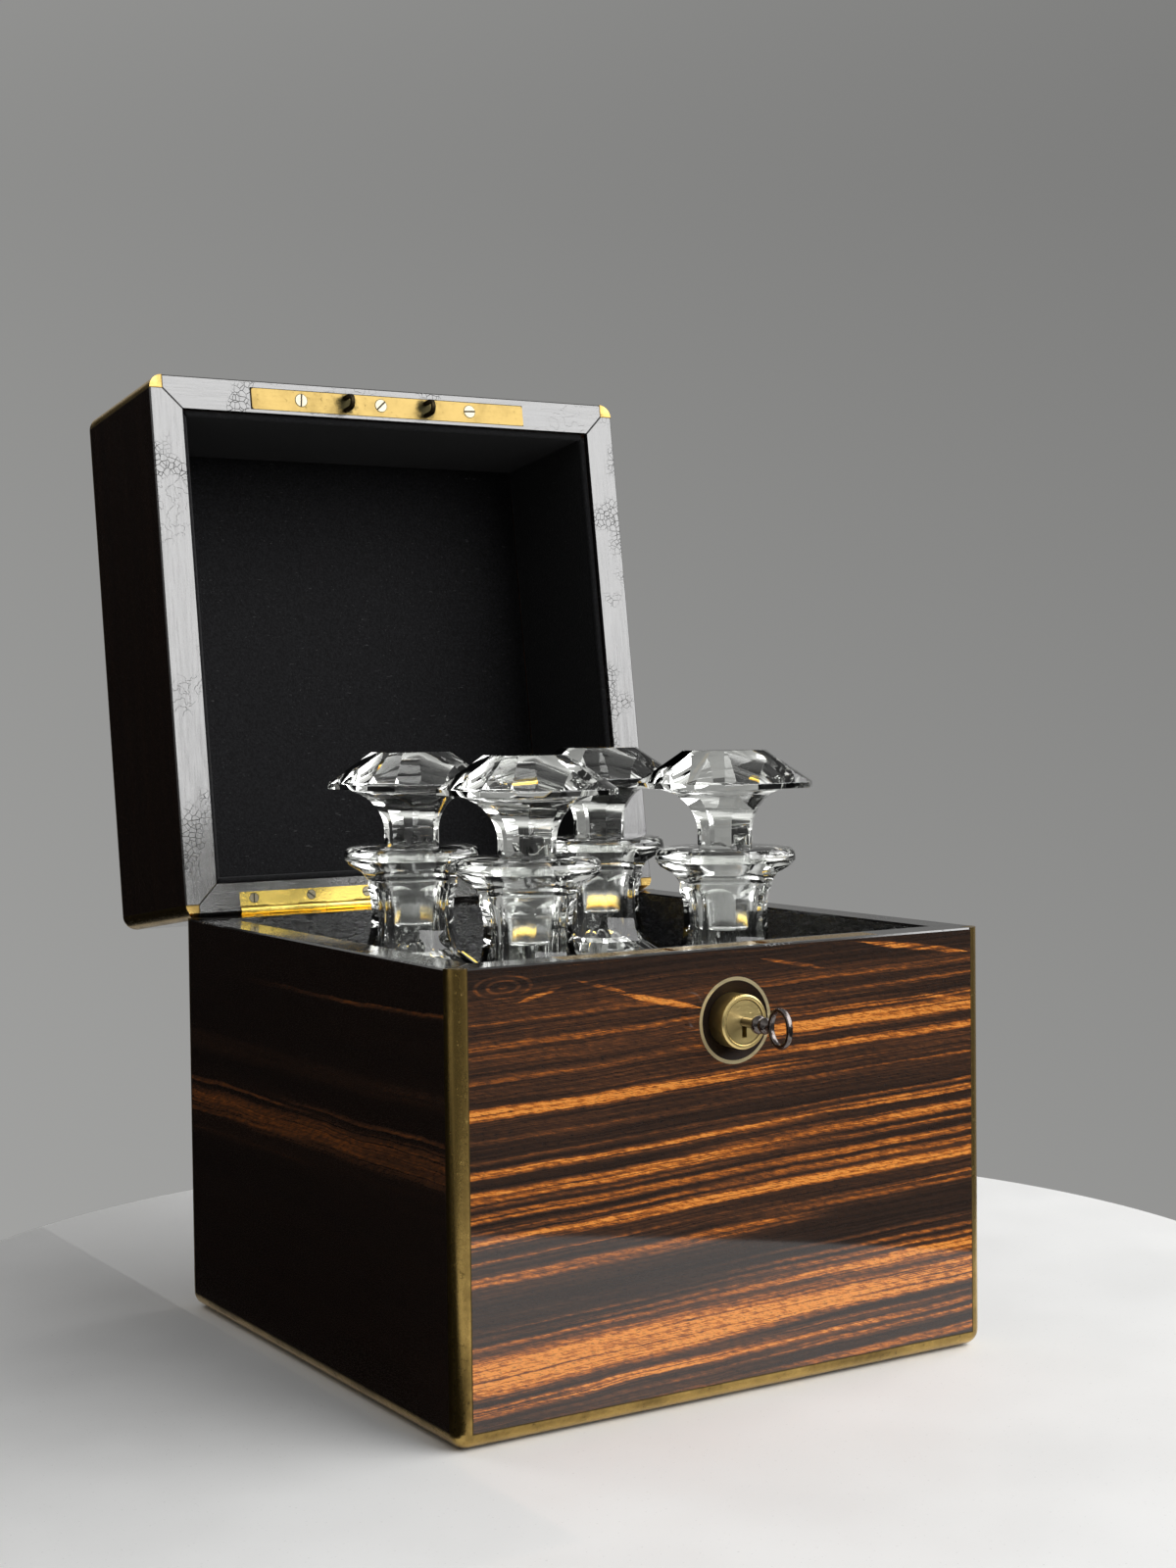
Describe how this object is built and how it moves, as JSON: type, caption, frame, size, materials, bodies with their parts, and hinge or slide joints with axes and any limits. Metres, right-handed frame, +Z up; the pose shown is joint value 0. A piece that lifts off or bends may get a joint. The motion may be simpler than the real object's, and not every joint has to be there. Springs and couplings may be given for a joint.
{
  "type": "antique tantalus",
  "caption": "Square dark-wood decanter box with brass edging, a locking hinged lid and stoppered cut-glass decanters standing in padded compartments.",
  "frame": {"origin": "middle of the underside of the box, on the table", "axes": "+X to the right, +Y to the back (the hinge side), +Z up"},
  "size_m": [0.23, 0.368, 0.3884],
  "materials": {
    "coromandel_veneer": "french polished, striped dark brown",
    "ebonised_rim": "ebonised, glossy",
    "dark_turned_wood": "polished, nearly black",
    "carcase_wood": "plain, hidden",
    "edge_brass": "aged, tarnished",
    "hinge_brass": "polished, lightly worn",
    "link_brass": "polished with green-grey tarnish",
    "lock_brass": "brushed, tarnished",
    "boss_brass": "turned and polished",
    "spring_brass": "rolled",
    "key_steel": "dark polished steel",
    "cut_glass": "polished, clear",
    "case_lining": "black paper and leather cloth over padding",
    "lid_felt": "black velvet",
    "baize": "dark baize"
  },
  "bodies": {
    "case": {"back_board": "carcase_wood", "back_lining": "case_lining", "back_veneer": "coromandel_veneer", "base_baize": "baize", "base_board": "carcase_wood", "base_edge_strips": "edge_brass", "case_corner_strips": "edge_brass", "case_hinge_leaves": "hinge_brass", "case_rim": "ebonised_rim", "divider": "case_lining", "floor_pad": "case_lining", "front_board": "carcase_wood", "front_lining": "case_lining", "front_veneer": "coromandel_veneer", "hinge_pins": "hinge_brass", "keyhole_recess": "dark_turned_wood", "keyhole_ring": "boss_brass", "left_board": "carcase_wood", "left_lining": "case_lining", "left_veneer": "coromandel_veneer", "lock_boss": "boss_brass", "lock_cap": "lock_brass", "lock_case": "lock_brass", "right_board": "carcase_wood", "right_lining": "case_lining", "right_veneer": "coromandel_veneer"},
    "lid": {"lid_back_veneer": "coromandel_veneer", "lid_corner_strips": "edge_brass", "lid_edge_strips": "edge_brass", "lid_front_veneer": "coromandel_veneer", "lid_hinge_leaves": "hinge_brass", "lid_left_veneer": "coromandel_veneer", "lid_linings": "lid_felt", "lid_pad": "lid_felt", "lid_right_veneer": "coromandel_veneer", "lid_rim": "ebonised_rim", "lid_top_board": "carcase_wood", "lid_top_veneer": "coromandel_veneer", "lid_walls": "carcase_wood", "link_eyes": "link_brass", "link_plate": "link_brass"},
    "barrel": {"lock_barrel": "boss_brass"},
    "key": {"key": "key_steel"},
    "bolt": {"bolt": "lock_brass", "bolt_spring": "spring_brass"},
    "decanter_front_left": {"decanter_front_left": "cut_glass"},
    "stopper_front_left": {"stopper_front_left": "cut_glass"},
    "decanter_front_right": {"decanter_front_right": "cut_glass"},
    "stopper_front_right": {"stopper_front_right": "cut_glass"},
    "decanter_rear_left": {"decanter_rear_left": "cut_glass"},
    "stopper_rear_left": {"stopper_rear_left": "cut_glass"},
    "decanter_rear_right": {"decanter_rear_right": "cut_glass"},
    "stopper_rear_right": {"stopper_rear_right": "cut_glass"}
  },
  "joints": [
    {"name": "lid_hinge", "type": "hinge", "parent": "case", "child": "lid", "pos_m": [0, 0.1128, 0.1626], "axis": [-1, 0, 0], "range_deg": [-98, 0]},
    {"name": "decanter_front_left_lift", "type": "slide", "parent": "case", "child": "decanter_front_left", "axis": [0, 0, 1], "range_m": [0, 0.16]},
    {"name": "decanter_front_right_lift", "type": "slide", "parent": "case", "child": "decanter_front_right", "axis": [0, 0, 1], "range_m": [0, 0.16]},
    {"name": "decanter_rear_left_lift", "type": "slide", "parent": "case", "child": "decanter_rear_left", "axis": [0, 0, 1], "range_m": [0, 0.16]},
    {"name": "decanter_rear_right_lift", "type": "slide", "parent": "case", "child": "decanter_rear_right", "axis": [0, 0, 1], "range_m": [0, 0.16]},
    {"name": "stopper_front_left_lift", "type": "slide", "parent": "decanter_front_left", "child": "stopper_front_left", "axis": [0, 0, 1], "range_m": [0, 0.035]},
    {"name": "stopper_front_right_lift", "type": "slide", "parent": "decanter_front_right", "child": "stopper_front_right", "axis": [0, 0, 1], "range_m": [0, 0.035]},
    {"name": "stopper_rear_left_lift", "type": "slide", "parent": "decanter_rear_left", "child": "stopper_rear_left", "axis": [0, 0, 1], "range_m": [0, 0.035]},
    {"name": "stopper_rear_right_lift", "type": "slide", "parent": "decanter_rear_right", "child": "stopper_rear_right", "axis": [0, 0, 1], "range_m": [0, 0.035]},
    {"name": "key_turn", "type": "hinge", "parent": "case", "child": "barrel", "pos_m": [-0.001, -0.11, 0.135], "axis": [0, 1, 0], "range_deg": [0, 360]},
    {"name": "key_draw", "type": "slide", "parent": "barrel", "child": "key", "axis": [0, -1, 0], "range_m": [0, 0.03]},
    {"name": "bolt_throw", "type": "slide", "parent": "case", "child": "bolt", "axis": [1, 0, 0], "range_m": [0, 0.007]}
  ],
  "couplings": [
    {"joint": "bolt_throw", "follows": "key_turn", "m_per_rad": 0.001114}
  ]
}
